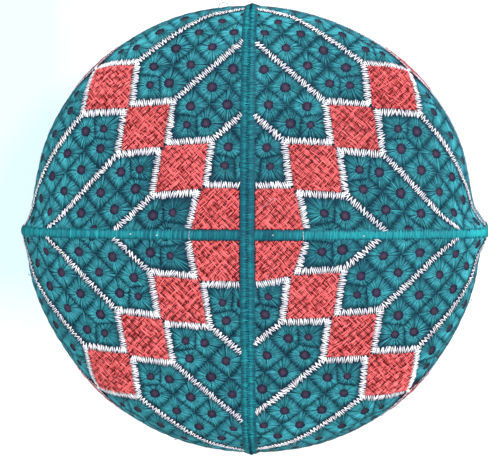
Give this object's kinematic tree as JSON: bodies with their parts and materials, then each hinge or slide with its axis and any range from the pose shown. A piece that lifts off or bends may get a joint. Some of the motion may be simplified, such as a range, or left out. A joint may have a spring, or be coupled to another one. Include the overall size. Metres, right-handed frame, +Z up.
{
  "type": "embroidered cap",
  "caption": "Round embroidered cloth cap with sewn panels, raised seam bands over a gently domed crown, chains of coral squares and a turned rim.",
  "frame": {"origin": "middle of the rim's outline on the floor", "axes": "+Z up through the crown, +Y along the unbroken seam band, +X along the other two bands"},
  "size_m": [0.2006, 0.1932, 0.0889],
  "materials": {
    "teal_panel": "embroidered cloth",
    "teal_band": "satin stitch",
    "teal_edge": "overcast stitch",
    "coral_thread": "woven thread"
  },
  "bodies": {
    "root": {"panel_north_east": "teal_panel", "panel_north_west": "teal_panel", "panel_south_west": "teal_panel", "panel_south_east": "teal_panel", "band_lengthwise": "teal_band", "band_crosswise_east": "teal_band", "band_crosswise_west": "teal_band", "hem_edge": "teal_edge", "square_ne_1": "coral_thread", "square_ne_2": "coral_thread", "square_ne_3": "coral_thread", "square_ne_4": "coral_thread", "square_ne_5": "coral_thread", "square_ne_6": "coral_thread", "square_nw_1": "coral_thread", "square_nw_2": "coral_thread", "square_nw_3": "coral_thread", "square_nw_4": "coral_thread", "square_nw_5": "coral_thread", "square_nw_6": "coral_thread", "square_sw_1": "coral_thread", "square_sw_2": "coral_thread", "square_sw_3": "coral_thread", "square_sw_4": "coral_thread", "square_sw_5": "coral_thread", "square_sw_6": "coral_thread", "square_se_1": "coral_thread", "square_se_2": "coral_thread", "square_se_3": "coral_thread", "square_se_4": "coral_thread", "square_se_5": "coral_thread", "square_se_6": "coral_thread"}
  },
  "joints": []
}
